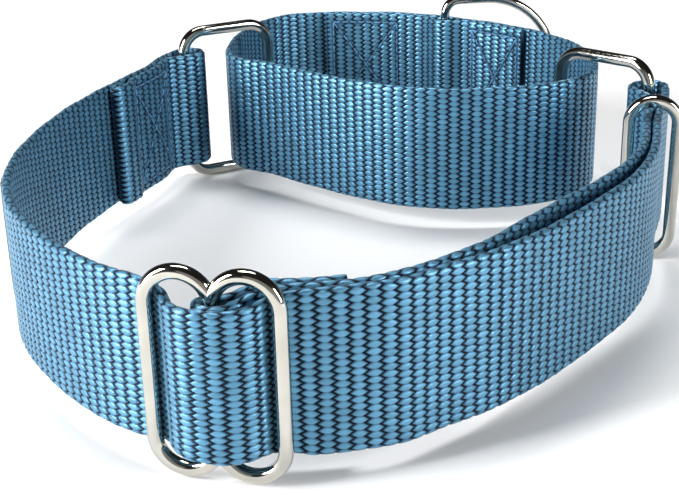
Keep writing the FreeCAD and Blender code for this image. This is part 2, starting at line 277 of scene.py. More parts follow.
sewn_front = smooth_line(
    [slide_middle + slide_out * SEWN_R]
    + [polar(angle, radius) for angle, radius in SEWN_FRONT]
    + [polar(SEWN_LONG - 0.6, SEWN_FRONT[-1][1])],
    heading(SLIDE_TURN),
    heading(SLIDE_TURN + SEWN_LONG),
)
sewn_bend = fold_line(slide_middle, SLIDE_TURN + 180, SEWN_R)
sewn_back = smooth_line(
    [slide_middle - slide_out * SEWN_R]
    + [polar(angle, radius) for angle, radius in SEWN_BACK]
    + [polar(SEWN_LONG - 2, SEWN_BACK[-1][1])],
    heading(SLIDE_TURN),
    heading(SLIDE_TURN + SEWN_LONG - 2),
)
hem = [left_side.at(mark, -off) for mark, off in ((41.4, 2.5), (43.5, 2.5), (46.0, 2.55), (47.5, 3.1))]
hem += [left_side.at(mark, -off) for mark, off in ((47.9, 3.75), (47.3, 4.4), (45.8, 4.85), (43.5, 4.9))]
hem += [left_side.at(mark, -off) for mark, off in ((41.0, 4.75), (38.6, 3.9), (36.3, 2.9), (33.5, 2.6))]
hem += [left_side.at(mark, -off) for mark, off in ((29.0, 2.55), (24.0, 2.55), (18.0, 2.55), (13.0, 2.55))]
flap = smooth_line(hem + [left_fold + right_of(left_way) * FOLD_R], None, left_way)

strap = Run(
    flap,
    fold_line(left_fold, LEFT_FOLD_TURN),
    left_side.line,
    hump,
    right_side.line,
    fold_line(right_fold, RIGHT_FOLD_TURN),
    inner_layer,
    sewn_front[::-1],
    sewn_bend[::-1],
    sewn_back,
)

# ---- the control loop and its second layer ----
control = Run(smooth_line(CONTROL, closed=True))
bar_mark = control.nearest(D_NEAR)
layer_marks = np.linspace(bar_mark - OVERLAP_RIGHT, bar_mark + OVERLAP_LEFT, 41)
pocket = np.cos(pi / 2 * np.clip(np.abs(layer_marks - bar_mark) / POCKET_HALF, 0, 1)) ** 2
overlap = Run(
    smooth_line(control.at(layer_marks, -LAYER_STEP - (POCKET_DEPTH - LAYER_STEP) * pocket))
)
d_bar = control.at(bar_mark, -POCKET_DEPTH / 2)


# ---- mesh building ----


def mesh_piece(name, points, quads, triangles=(), values=None, corner_values=None):
    """A mesh object in metres, smooth shaded, with its values for each point, or corner, as attributes."""
    mesh = bpy.data.meshes.new(name)
    mesh.vertices.add(len(points))
    mesh.vertices.foreach_set("co", metres(points).astype(np.float32).ravel())
    corners = np.concatenate([np.ravel(quads), np.ravel(triangles)]).astype(np.int32)
    mesh.loops.add(len(corners))
    mesh.loops.foreach_set("vertex_index", corners)
    sides = np.array([4] * len(quads) + [3] * len(triangles), np.int32)
    mesh.polygons.add(len(sides))
    mesh.polygons.foreach_set("loop_start", np.concatenate([[0], np.cumsum(sides)[:-1]]).astype(np.int32))
    mesh.polygons.foreach_set("use_smooth", np.ones(len(sides), bool))
    mesh.update(calc_edges=True)
    mesh.validate()
    for key, value in (values or {}).items():
        value = np.asarray(value, np.float32)
        kind = "FLOAT_VECTOR" if value.ndim == 2 else "FLOAT"
        attribute = mesh.attributes.new(key, kind, "POINT")
        attribute.data.foreach_set("vector" if value.ndim == 2 else "value", value.ravel())
    for key, value in (corner_values or {}).items():
        spare = np.zeros((3 * len(triangles), 3))
        attribute = mesh.attributes.new(key, "FLOAT_VECTOR", "CORNER")
        attribute.data.foreach_set("vector", np.vstack([value, spare]).astype(np.float32).ravel())
    piece = bpy.data.objects.new(name, mesh)
    bpy.context.scene.collection.objects.link(piece)
    return piece


def sleeve(rows, columns, first=0, closed_rows=False):
    """Quads of a grid of rows round a closed section, facing out."""
    row = np.arange(rows if closed_rows else rows - 1)[:, None]
    column = np.arange(columns)[None, :]
    after = (row + 1) % rows
    beside = (column + 1) % columns
    here = row * columns
    there = after * columns
    corners = [here + column, here + beside, there + beside, there + column]
    return first + np.stack(corners, -1).reshape(-1, 4)


def pingpong(value, size):
    """A triangle wave between 0 and size."""
    return size - np.abs(np.mod(value, 2 * size) - size)


def weave(rib, yarn, ribs, yarns):
    """Height of the warp floats over the weft, 0 to 1, and a random number for each float.

    Every other rib is raised by every other set of yarns, half a yarn apart, so their pointed ends interlock.
    """
    shade = rng.uniform(0, 1, (ribs + 3, yarns + 1))
    across = pingpong(yarn + 0.5, 0.5)
    inside = 0.5 + TOOTH * (1 - 4 * across) - pingpong(rib - 0.5, 1.0)
    second = inside < 0
    centre = np.where(second, np.floor(rib / 2) * 2 + 1, np.floor((rib + 0.5) / 2) * 2)
    lane = np.where(second, np.floor(yarn + 0.5), np.floor(yarn))
    tone = shade[np.clip(centre, 0, ribs).astype(int), (lane % yarns).astype(int)]
    depth = np.clip(np.abs(inside) / TOOTH_SLOPE, 0, 1)
    edge = np.where(second, 0.5 - across, across)
    height = 0.2 + 0.8 * np.sqrt(1 - (1 - depth) ** 2) - 0.1 * (2 * edge) ** 4
    return height, tone


def weave_corners(rows, count):
    """The rib and yarn number at each corner of a sleeve's quads, without a jump where the section closes."""
    row = rows[:-1, None, None] + np.array([0, 0, 1, 1])[None, None, :]
    column = np.arange(count)[None, :, None] + np.array([0, 1, 1, 0])[None, None, :]
    rib, yarn = np.broadcast_arrays(row / STEPS, column / STEPS)
    return np.stack([rib, yarn, 0 * rib], -1).reshape(-1, 3)


def web_section(thick):
    """The crest line round the webbing's section: offset, height, outward normal and yarn number."""
    half = thick / 2
    face = (np.arange(FACE_YARNS * STEPS) + 0.0) / (FACE_YARNS * STEPS)
    edge = pi * (np.arange(EDGE_YARNS * STEPS) + 0.0) / (EDGE_YARNS * STEPS)
    low = WEB_LOW + half
    high = WEB_HIGH - half
    offset = np.concatenate([face * 0 + half, half * np.cos(edge), face * 0 - half, -half * np.cos(edge)])
    climb = face * (high - low)
    bulge = half * np.sin(edge)
    height = np.concatenate([low + climb, high + bulge, high - climb, low - bulge])
    side = np.concatenate([face * 0 + 1, np.cos(edge), face * 0 - 1, -np.cos(edge)])
    up = np.concatenate([face * 0, np.sin(edge), face * 0, -np.sin(edge)])
    yarn = np.arange(len(offset)) / STEPS
    return offset, height, side, up, yarn


def web_piece(name, run, first, last, pitch=RIB, thick=WEB_THICK, seams=(), squeeze=None):
    """Woven webbing from one rib of a run to another, as a closed body.

    seams are lines of stitching (mark, height, mark, height, side) that pull the weave down.
    squeeze gives how much each edge is drawn in at a distance along the run.
    """
    offset, height, side, up, yarn = web_section(thick)
    rows = np.arange(first * STEPS, last * STEPS + 1)
    rib = rows[:, None] / STEPS
    marks = np.clip(rows / STEPS * pitch, 0, run.long)
    ribs = last - first + 2
    own_rib = rib - first + 3 * (first % 2)
    relief, tone = weave(own_rib, yarn[None, :], ribs + 4, 2 * (FACE_YARNS + EDGE_YARNS))
    depth = EDGE_RELIEF + (FACE_RELIEF - EDGE_RELIEF) * np.abs(side)
    sink = depth * (relief - 1)
    pull = np.zeros(relief.shape)
    for mark_a, height_a, mark_b, height_b, face in seams:
        reach_m, reach_h = mark_b - mark_a, height_b - height_a
        from_m, from_h = marks[:, None] - mark_a, height[None, :] - height_a
        share = np.clip((from_m * reach_m + from_h * reach_h) / (reach_m**2 + reach_h**2), 0, 1)
        away = (from_m - share * reach_m) ** 2 + (from_h - share * reach_h) ** 2
        pull = np.maximum(pull, np.exp(-away / 0.55) * np.clip(side * face, 0, 1)[None, :])
    sink = sink * (1 - 0.5 * pull) - 0.34 * pull
    wander = 0.12 * np.sin(marks / 7.3 + 1.0) + 0.10 * np.sin(marks / 3.1)
    edgeward = np.abs(height - WEB_MID) / HALF_WIDTH
    rise = height[None, :] + up[None, :] * sink + 0.8 * wander[:, None] * edgeward[None, :]
    if squeeze is not None:
        rise = WEB_MID + (rise - WEB_MID) * (1 - squeeze(marks) / (WEB_WIDTH / 2))[:, None]
    across = offset[None, :] + side[None, :] * sink + 0.2 * wander[:, None]
    plan = run.at(np.repeat(marks[:, None], len(offset), 1), across)
    points = np.concatenate([plan, rise[..., None]], -1)
    count = len(offset)
    ends = [points[0].mean(0), points[-1].mean(0)]
    flat = np.vstack([points.reshape(-1, 3), ends])
    around = np.arange(count)
    beside = (around + 1) % count
    final = (len(rows) - 1) * count
    caps = [np.stack([beside, around, around * 0 + len(flat) - 2], -1)]
    caps.append(np.stack([final + around, final + beside, around * 0 + len(flat) - 1], -1))
    cloth = np.stack(
        [np.repeat(marks[:, None], count, 1), np.repeat(yarn[None, :] * 1.64, len(rows), 0), tone], -1
    ).reshape(-1, 3)
    # The relief attribute sets the webbing's colour: lower values get painted shade. It is lowered where
    # stitching pulls the weave down and set to 0.2 at the end caps' centres, so these are painted darker.
    values = {
        "cloth": np.vstack([cloth, cloth[:2]]),
        "relief": np.concatenate([(relief * (1 - 0.25 * pull)).ravel(), [0.2, 0.2]]),
    }
    quads = sleeve(len(rows), count)
    return mesh_piece(name, flat, quads, np.vstack(caps), values, {"weave": weave_corners(rows, count)})


def tube(path, radius, sides=8):
    """Points round a tube along points in space, and the angles round its section."""
    path = np.asarray(path, float)
    way = np.gradient(path, axis=0)
    way /= np.linalg.norm(way, axis=1, keepdims=True)
    upright = abs(way[len(way) // 2][2]) > 0.8
    helper = np.array([1.0, 0.0, 0.0]) if upright else np.array([0.0, 0.0, 1.0])
    one = np.cross(way, helper)
    one /= np.linalg.norm(one, axis=1, keepdims=True)
    two = np.cross(way, one)
    turn = np.arange(sides) * 2 * pi / sides
    ring = one[:, None] * np.cos(turn)[None, :, None] + two[:, None] * np.sin(turn)[None, :, None]
    points = path[:, None] + ring * np.asarray(radius, float).reshape(-1, 1, 1)
    return points.reshape(-1, 3), turn


def thread_piece(name, stitches):
    """One mesh of many stitches, each a short thread that dips into the cloth at both ends."""
    points, quads, values = [], [], []
    total = 0
    sides = 8
    for number, path in enumerate(stitches):
        count = len(path)
        ease = np.sin(pi * np.linspace(0.06, 0.94, count)) ** 0.35
        body, turn = tube(path, THREAD_R * ease, sides)
        points.append(body)
        quads.append(sleeve(count, sides, total))
        along = np.repeat(np.linspace(0, 2.6, count), sides)
        around = np.tile(turn * THREAD_R, count)
        values.append(np.stack([along, around, np.full(len(body), (number * 0.37) % 1)], -1))
        total += len(body)
    values = np.vstack(values)
    return mesh_piece(name, np.vstack(points), np.vstack(quads), np.zeros((0, 3), int), {"cloth": values})


def stitch_row(run, seam, proud, pitch=3.0):
    """Stitches along one seam of a run, lying on the webbing's face."""
    mark_a, height_a, mark_b, height_b, face = seam
    long = np.hypot(mark_b - mark_a, height_b - height_a)
    count = max(1, round(long / pitch))
    rows = []
    for i in range(count):
        share = (i + np.linspace(0.06, 0.94, 9)) / count
        t = np.linspace(0, 1, 9)
        marks = mark_a + (mark_b - mark_a) * share
        heights = height_a + (height_b - height_a) * share
        lift = proud - 0.62 * np.abs(2 * t - 1) ** 4
        plan = run.at(marks, face * lift)
        rows.append(np.concatenate([plan, heights[:, None]], -1))
    return rows


def box_seams(start, end, low, high, face, crossed=True):
    """A stitched rectangle with, if crossed, both diagonals."""
    seams = [(start, low, end, low, face), (start, high, end, high, face)]
    seams += [(start, low, start, high, face), (end, low, end, high, face)]
    if crossed:
        seams += [(start, low, end, high, face), (start, high, end, low, face)]
    return seams


# ---- bent wire ----


def arc(x, z, radius, start, sweep, steps=18):
    turns = np.radians(np.linspace(start, start + sweep, steps + 1))
    return np.stack([x + radius * np.cos(turns), z + radius * np.sin(turns)], -1)


def rounded_path(width, height, corner, wire):
    x = width / 2 - wire - corner
    z = height / 2 - wire - corner
    corners = [arc(x, z, corner, 0, 90), arc(-x, z, corner, 90, 90)]
    corners += [arc(-x, -z, corner, 180, 90), arc(x, -z, corner, 270, 90)]
    return np.vstack(corners)


def even_path(path, step, closed):
    """The path with points no further apart than step, and no two in one place."""
    points = np.vstack([path, path[:1]]) if closed else np.asarray(path)
    made = [points[0]]
    for a, b in zip(points[:-1], points[1:]):
        apart = np.linalg.norm(b - a)
        if apart < 1e-6:
            continue
        count = int(np.ceil(apart / step))
        made += [a + (b - a) * (i + 1) / count for i in range(count)]
    return np.array(made[:-1] if closed else made)


def wire_piece(name, path, wire, at, turn, mid, closed=True, lean=0.0, square=2.6, sides=32, taper=None):
    """Wire bent along a path in its own upright plane, then turned about Z and set down.

    square is the section's roundness: 2 is round, and a larger number is flatter on four sides.
    """
    path = even_path(path, 1.2, closed)
    if closed:
        way = np.roll(path, -1, 0) - np.roll(path, 1, 0)
    else:
        way = np.gradient(path, axis=0)
    way /= np.linalg.norm(way, axis=1, keepdims=True)
    out = np.stack([way[:, 1], -way[:, 0]], -1)
    turns = np.arange(sides) * 2 * pi / sides
    c, s = np.cos(turns), np.sin(turns)
    size = (np.abs(c) ** square + np.abs(s) ** square) ** (-1 / square) * wire
    grow = np.ones(len(path)) if taper is None else taper(np.linspace(0, 1, len(path)))
    x = path[:, :1] + out[:, :1] * (size * c)[None, :] * grow[:, None]
    z = path[:, 1:] + out[:, 1:] * (size * c)[None, :] * grow[:, None]
    y = np.repeat((size * s)[None, :], len(path), 0) * grow[:, None]
    tip = radians(lean)
    y, z = y * cos(tip) - z * sin(tip), y * sin(tip) + z * cos(tip)
    way_x = heading(turn)
    way_y = heading(turn + 90)
    plan = at + x[..., None] * way_x + y[..., None] * way_y
    points = np.concatenate([plan, (z + mid)[..., None]], -1)
    rows = len(path)
    flat = points.reshape(-1, 3)
    quads = sleeve(rows, sides, 0, closed)
    triangles = np.zeros((0, 3), int)
    step = np.linalg.norm(np.diff(path, axis=0), axis=1)
    along = np.concatenate([[0], np.cumsum(step)])
    values = np.stack([np.repeat(along, sides), np.tile(turns * wire, rows), np.zeros(rows * sides)], -1)
    if not closed:
        flat = np.vstack([flat, points[0].mean(0), points[-1].mean(0)])
        around = np.arange(sides)
        beside = (around + 1) % sides
        final = (rows - 1) * sides
        first_cap = np.stack([beside, around, around * 0 + len(flat) - 2], -1)
        last_cap = np.stack([final + around, final + beside, around * 0 + len(flat) - 1], -1)
        triangles = np.vstack([first_cap, last_cap])
        values = np.vstack([values, values[:2]])
    return mesh_piece(name, flat, quads, triangles, {"cloth": values})


# ---- materials ----


def node(tree, kind, values=None, **settings):
    """A shader node with its settings made, and its inputs set or linked."""
    made = tree.nodes.new(kind)
    for key, value in settings.items():
        setattr(made, key, value)
    for key, value in (values or {}).items():
        if isinstance(value, bpy.types.NodeSocket):
            tree.links.new(value, made.inputs[key])
        else:
            made.inputs[key].default_value = value
    return made


def ramp(tree, value, stops):
    made = node(tree, "ShaderNodeValToRGB", {"Fac": value})
    elements = made.color_ramp.elements
    while len(elements) < len(stops):
        elements.new(0.5)
    for element, (place, colour) in zip(elements, stops):
        element.position = place
        element.color = (*colour, 1)
    return made.outputs["Color"]


def new_group(name, inputs, outputs):
    group = bpy.data.node_groups.new(name, "ShaderNodeTree")
    for label, kind, value in inputs:
        socket = group.interface.new_socket(label, in_out="INPUT", socket_type="NodeSocket" + kind)
        socket.default_value = value
    for label, kind in outputs:
        group.interface.new_socket(label, in_out="OUTPUT", socket_type="NodeSocket" + kind)
    return group, group.nodes.new("NodeGroupInput"), group.nodes.new("NodeGroupOutput")


def make_filaments():
    """Fine parallel filaments along a yarn: a streak value and the normal they give."""
    group, inside, outside = new_group(
        "Filaments",
        [("Along", "Float", 0.0), ("Across", "Float", 0.0), ("Seed", "Float", 0.0), ("Lay", "Float", 0.2)],
        [("Streak", "Float"), ("Normal", "Vector")],
    )
    along, twist = inside.outputs["Along"], inside.outputs["Lay"]
    lay = node(group, "ShaderNodeMath", {0: along, 1: twist}, operation="MULTIPLY")
    slant = node(group, "ShaderNodeMath", {0: inside.outputs["Across"], 1: lay.outputs[0]}, operation="ADD")
    fine = node(group, "ShaderNodeMath", {0: slant.outputs[0], 1: 7.5}, operation="MULTIPLY")
    slow = node(group, "ShaderNodeMath", {0: inside.outputs["Along"], 1: 0.55}, operation="MULTIPLY")
    seed = node(group, "ShaderNodeMath", {0: inside.outputs["Seed"], 1: 37.0}, operation="MULTIPLY")
    place = node(group, "ShaderNodeCombineXYZ", {0: slow.outputs[0], 1: fine.outputs[0], 2: seed.outputs[0]})
    noise = node(group, "ShaderNodeTexNoise", {"Vector": place.outputs[0], "Scale": 1.0, "Detail": 3.0})
    bump = node(group, "ShaderNodeBump", {"Height": noise.outputs[0], "Strength": 0.55, "Distance": 0.00012})
    group.links.new(noise.outputs[0], outside.inputs["Streak"])
    group.links.new(bump.outputs[0], outside.inputs["Normal"])
    return group


def make_weave():
    """Plain weave from rib and yarn numbers: the floats' height, and the gaps between them, which the webbing
    darkens as painted shade.
    """
    group, inside, outside = new_group(
        "Plain weave",
        [("Rib", "Float", 0.0), ("Yarn", "Float", 0.0)],
        [("Height", "Float"), ("Gap", "Float")],
    )

    def maths(operation, first, second=0.0, third=0.0):
        return node(group, "ShaderNodeMath", {0: first, 1: second, 2: third}, operation=operation).outputs[0]

    across = maths("PINGPONG", maths("ADD", inside.outputs["Yarn"], 0.5), 0.5)
    reach = maths("MULTIPLY_ADD", across, -4 * TOOTH, 0.5 + TOOTH)
    apart = maths("SUBTRACT", reach, maths("PINGPONG", maths("ADD", inside.outputs["Rib"], -0.5), 1.0))
    second = maths("LESS_THAN", apart, 0.0)
    apart = maths("ABSOLUTE", apart)
    depth = maths("SUBTRACT", 1.0, maths("MINIMUM", maths("MULTIPLY", apart, 1 / TOOTH_SLOPE), 1.0))
    dome = maths("SQRT", maths("SUBTRACT", 1.0, maths("MULTIPLY", depth, depth)))
    edge = maths("ABSOLUTE", maths("SUBTRACT", maths("MULTIPLY", second, 0.5), across))
    edge = maths("POWER", maths("MULTIPLY", edge, 2.0), 4.0)
    height = maths("MULTIPLY_ADD", edge, -0.1, maths("MULTIPLY_ADD", dome, 0.8, 0.2))
    gap_range = {"Value": apart, "From Min": 0.035, "From Max": 0.19, "To Min": 1.0, "To Max": 0.0}
    gap = node(group, "ShaderNodeMapRange", gap_range)
    group.links.new(height, outside.inputs["Height"])
    group.links.new(gap.outputs[0], outside.inputs["Gap"])
    return group


def make_wear():
    """Slow cloudy variation, for uneven dye, handling marks and dust."""
    group, inside, outside = new_group(
        "Handling wear",
        [("Size", "Float", 60.0), ("Detail", "Float", 4.0)],
        [("Cloud", "Float"), ("Specks", "Float")],
    )
    place = group.nodes.new("ShaderNodeTexCoord").outputs["Object"]
    size, detail = inside.outputs["Size"], inside.outputs["Detail"]
    cloud = node(group, "ShaderNodeTexNoise", {"Vector": place, "Scale": size, "Detail": detail})
    specks = node(group, "ShaderNodeTexNoise", {"Vector": place, "Scale": 900.0, "Detail": 2.0})
    group.links.new(cloud.outputs[0], outside.inputs["Cloud"])
    group.links.new(specks.outputs[0], outside.inputs["Specks"])
    return group


filaments = make_filaments()
plain_weave = make_weave()
wear = make_wear()


def start_material(name):
    material = bpy.data.materials.new(name)
    material.use_nodes = True
    tree = material.node_tree
    shader = tree.nodes["Principled BSDF"]
    return material, tree, shader


def cloth_place(tree):
    attribute = node(tree, "ShaderNodeAttribute", attribute_name="cloth")
    return node(tree, "ShaderNodeSeparateXYZ", {0: attribute.outputs["Vector"]}).outputs


def scaled(tree, value, low, high):
    made = node(tree, "ShaderNodeMapRange", {"Value": value, "To Min": low, "To Max": high})
    return made.outputs["Result"]


def times(tree, colour, value):
    """The colour made lighter or darker by a value."""
    made = node(tree, "ShaderNodeVectorMath", {0: colour, 1: value}, operation="MULTIPLY")
    return made.outputs[0]


def webbing_material():
    material, tree, shader = start_material("blue nylon webbing")
    along, across, seed = (cloth_place(tree)[i] for i in range(3))
    relief = node(tree, "ShaderNodeAttribute", attribute_name="relief").outputs["Fac"]
    number = node(tree, "ShaderNodeAttribute", attribute_name="weave").outputs["Vector"]
    number = node(tree, "ShaderNodeSeparateXYZ", {0: number}).outputs
    floats = node(tree, "ShaderNodeGroup", node_tree=plain_weave)
    tree.links.new(number[0], floats.inputs["Rib"])
    tree.links.new(number[1], floats.inputs["Yarn"])
    fibres = node(tree, "ShaderNodeGroup", node_tree=filaments)
    for key, value in (("Along", along), ("Across", across), ("Seed", seed)):
        tree.links.new(value, fibres.inputs[key])
    fibres.inputs["Lay"].default_value = 0.12
    marks = node(tree, "ShaderNodeGroup", {"Size": 45.0}, node_tree=wear)
    height, gap = floats.outputs["Height"], floats.outputs["Gap"]
    # Painted shade: level is the lower of the float height and the relief attribute. The ramp below runs from
    # near black where level is low, down the floats' slopes and in the crevices, to the blue dye on the
    # crests.
    level = node(tree, "ShaderNodeMath", {0: relief, 1: height}, operation="MINIMUM").outputs[0]
    dye_and_painted_shade = ramp(
        tree,
        level,
        [
            (0.35, (0.002, 0.007, 0.022)),
            (0.68, (0.012, 0.047, 0.1)),
            (0.88, (0.048, 0.155, 0.265)),
            (0.99, (0.098, 0.265, 0.405)),
        ],
    )
    yarn = scaled(tree, seed, 0.88, 1.12)
    cloud = scaled(tree, marks.outputs["Cloud"], 0.85, 1.15)
    streak = scaled(tree, fibres.outputs["Streak"], 0.74, 1.26)
    # Painted shade: the colour falls to 7 % in the gaps between the floats.
    painted_gap_shade = scaled(tree, gap, 1.0, 0.07)
    colour = times(tree, times(tree, times(tree, times(tree, dye_and_painted_shade, yarn), cloud), streak), painted_gap_shade)
    tree.links.new(colour, shader.inputs["Base Color"])
    dull = node(tree, "ShaderNodeMath", {0: gap, 1: 0.45}, operation="MULTIPLY").outputs[0]
    sheen = scaled(tree, fibres.outputs["Streak"], 0.28, 0.44)
    rough = node(tree, "ShaderNodeMath", {0: sheen, 1: dull}, operation="ADD").outputs[0]
    tree.links.new(rough, shader.inputs["Roughness"])
    raised = node(tree, "ShaderNodeMath", {0: level, 1: gap}, operation="SUBTRACT").outputs[0]
    bump = node(tree, "ShaderNodeBump", {"Height": raised, "Strength": 0.5, "Distance": 0.0003})
    tree.links.new(fibres.outputs["Normal"], bump.inputs["Normal"])
    tree.links.new(bump.outputs[0], shader.inputs["Normal"])
    shader.inputs["Metallic"].default_value = 0.6
    shader.inputs["Specular IOR Level"].default_value = 0.5
    shader.inputs["Sheen Weight"].default_value = 0.1
    shader.inputs["Sheen Roughness"].default_value = 0.4
    shader.inputs["Sheen Tint"].default_value = (0.55, 0.8, 1.0, 1)
    return material


def thread_material(name, light, dark):
    material, tree, shader = start_material(name)
    along, across, seed = (cloth_place(tree)[i] for i in range(3))
    fibres = node(tree, "ShaderNodeGroup", node_tree=filaments)
    for key, value in (("Along", along), ("Across", across), ("Seed", seed)):
        tree.links.new(value, fibres.inputs[key])
    fibres.inputs["Lay"].default_value = 0.9
    colour = ramp(tree, fibres.outputs["Streak"], [(0.3, dark), (0.7, light)])
    colour = times(tree, colour, scaled(tree, seed, 0.85, 1.15))
    tree.links.new(colour, shader.inputs["Base Color"])
    tree.links.new(scaled(tree, fibres.outputs["Streak"], 0.35, 0.55), shader.inputs["Roughness"])
    tree.links.new(fibres.outputs["Normal"], shader.inputs["Normal"])
    shader.inputs["Sheen Weight"].default_value = 0.15
    return material


def nickel_material():
    material, tree, shader = start_material("polished nickel")
    marks = node(tree, "ShaderNodeGroup", {"Size": 110.0, "Detail": 5.0}, node_tree=wear)
    colour = ramp(tree, marks.outputs["Cloud"], [(0.3, (0.50, 0.485, 0.435)), (0.7, (0.59, 0.57, 0.515))])
    rough = node(
        tree, "ShaderNodeMath", {0: marks.outputs["Cloud"], 1: marks.outputs["Specks"]}, operation="MULTIPLY"
    ).outputs[0]
    tree.links.new(colour, shader.inputs["Base Color"])
    tree.links.new(scaled(tree, rough, 0.04, 0.2), shader.inputs["Roughness"])
    dents = {"Height": marks.outputs["Cloud"], "Strength": 0.12, "Distance": 0.0003}
    bump = node(tree, "ShaderNodeBump", dents)
    tree.links.new(bump.outputs[0], shader.inputs["Normal"])
    shader.inputs["Metallic"].default_value = 1.0
    return material


def patch_material():
    material, tree, shader = start_material("black woven patch")
    along, across, seed = (cloth_place(tree)[i] for i in range(3))
    fibres = node(tree, "ShaderNodeGroup", node_tree=filaments)
    for key, value in (("Along", across), ("Across", along), ("Seed", seed)):
        tree.links.new(value, fibres.inputs[key])
    place = node(tree, "ShaderNodeCombineXYZ", {0: along, 1: across, 2: 0.0})
    twill = node(
        tree,
        "ShaderNodeTexWave",
        {"Vector": place.outputs[0], "Scale": 1.1, "Distortion": 0.6, "Detail": 2.0},
        bands_direction="DIAGONAL",
    )
    marks = node(tree, "ShaderNodeGroup", {"Size": 80.0}, node_tree=wear)
    colour = ramp(tree, twill.outputs[1], [(0.2, (0.006, 0.0065, 0.008)), (0.8, (0.022, 0.023, 0.027))])
    colour = times(tree, colour, scaled(tree, marks.outputs["Cloud"], 0.7, 1.3))
    tree.links.new(colour, shader.inputs["Base Color"])
    tree.links.new(scaled(tree, fibres.outputs["Streak"], 0.5, 0.75), shader.inputs["Roughness"])
    bump = node(tree, "ShaderNodeBump", {"Height": twill.outputs[1], "Strength": 0.5, "Distance": 0.00015})
    tree.links.new(fibres.outputs["Normal"], bump.inputs["Normal"])
    tree.links.new(bump.outputs[0], shader.inputs["Normal"])
    shader.inputs["Sheen Weight"].default_value = 0.03
    shader.inputs["Specular IOR Level"].default_value = 0.2
    return material


def floor_material():
    material, tree, shader = start_material("pale floor")
    marks = node(tree, "ShaderNodeGroup", {"Size": 3.0, "Detail": 3.0}, node_tree=wear)
    colour = ramp(tree, marks.outputs["Cloud"], [(0.3, (0.86, 0.86, 0.86)), (0.7, (0.88, 0.88, 0.88))])
    tree.links.new(colour, shader.inputs["Base Color"])
    shader.inputs["Roughness"].default_value = 0.9
    shader.inputs["Specular IOR Level"].default_value = 0.1
    return material


WEBBING = webbing_material()
THREAD = thread_material("blue nylon thread", (0.12, 0.32, 0.52), (0.03, 0.11, 0.22))
BLACK_THREAD = thread_material("black thread", (0.03, 0.031, 0.036), (0.008, 0.0085, 0.01))
NICKEL = nickel_material()
PATCH = patch_material()


def finish_piece(piece, material, nodes=(), body=None):
    piece.data.materials.append(material)
    if nodes:
        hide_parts(*nodes)
    if body:
        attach(piece, body)
    return piece


# ---- the webbing pieces ----
left_start = Run(flap).long + pi * FOLD_R  # where the strap's left side begins along the whole run
slide_mark = strap.nearest(polar(0, 67.7))
hump_start = left_start + left_side.long
right_start = hump_start + Run(hump).long
inner_start = right_start + right_side.long + pi * FOLD_R
sewn_start = inner_start + Run(inner_layer).long


def rib_at(mark):
    return int(round(mark / RIB))


def slide_squeeze(marks):
    return 1.8 * np.clip(1.9 - np.abs(marks - slide_mark) / 12.0, 0, 1)


def sewn_squeeze(marks):
    """The webbing is drawn in at each edge where it wraps the slide's centre bar."""
    bend_mark = sewn_start + Run(sewn_front).long + pi * SEWN_R / 2
    return 2.4 * np.clip(1.8 - np.abs(marks - bend_mark) / 9.0, 0, 1)


def angle_mark(angle):
    """The distance along the strap's outer run at degrees round the front arc from the slide."""
    where = np.array([polar(angle, radius) for radius in np.linspace(55, 90, 200)])
    outer = (strap.mark > left_start) & (strap.mark < right_start + right_side.long)
    apart = np.linalg.norm(strap.line[outer][:, None] - where[None], axis=2).min(1)
    return strap.mark[outer][np.argmin(apart)]


def inner_mark(angle):
    """The same for the strap's inner layer."""
    where = np.array([polar(angle, radius) for radius in np.linspace(50, 90, 200)])
    inner = (strap.mark > inner_start) & (strap.mark < sewn_start)
    apart = np.linalg.norm(strap.line[inner][:, None] - where[None], axis=2).min(1)
    return strap.mark[inner][np.argmin(apart)]


low_seam = WEB_LOW + 3.2
high_seam = WEB_HIGH - 3.2
flap_mark = left_start + 15.0
outer_box = box_seams(flap_mark, flap_mark + 22.0, low_seam, high_seam, 1)
flap_back = left_start - pi * FOLD_R
inner_box = box_seams(flap_back - 37.0, flap_back - 15.0, low_seam, high_seam, 1)
patch_from = left_start + 82.0
patch_to = patch_from + 45.0
patch_low = WEB_LOW + 2.6
patch_high = WEB_HIGH - 2.6

cuts = {
    "hem": 0,
    "left": rib_at(left_start + 58),
    "left_front": rib_at(angle_mark(-62)),
    "slide": rib_at(slide_mark),
    "right_front": rib_at(angle_mark(62)),
    "right": rib_at(inner_start - pi * FOLD_R / 2),
    "inner": rib_at(inner_mark(75)),
    "sewn": rib_at(sewn_start),
    "end": int(strap.long / RIB),
}

strap_flap = web_piece("strap_flap_and_fold", strap, cuts["hem"], cuts["left"], seams=outer_box + inner_box)
finish_piece(
    strap_flap,
    WEBBING,
    ["strap_fold_left", "strap_end_flap", "strap_end_hem", "strap_left_1"],
    "neck_strap",
)
strap_left = web_piece("strap_left", strap, cuts["left"], cuts["left_front"])
finish_piece(strap_left, WEBBING, ["strap_left_" + str(i) for i in (2, 3, 4, 5)], "neck_strap")

hump_left = web_piece("strap_front_left", strap, cuts["left_front"], cuts["slide"], squeeze=slide_squeeze)
finish_piece(hump_left, WEBBING, ["strap_left_6", "strap_over_slide"])
hump_right = web_piece("strap_front_right", strap, cuts["slide"], cuts["right_front"], squeeze=slide_squeeze)
finish_piece(hump_right, WEBBING, ["strap_right_1", "strap_right_2"])

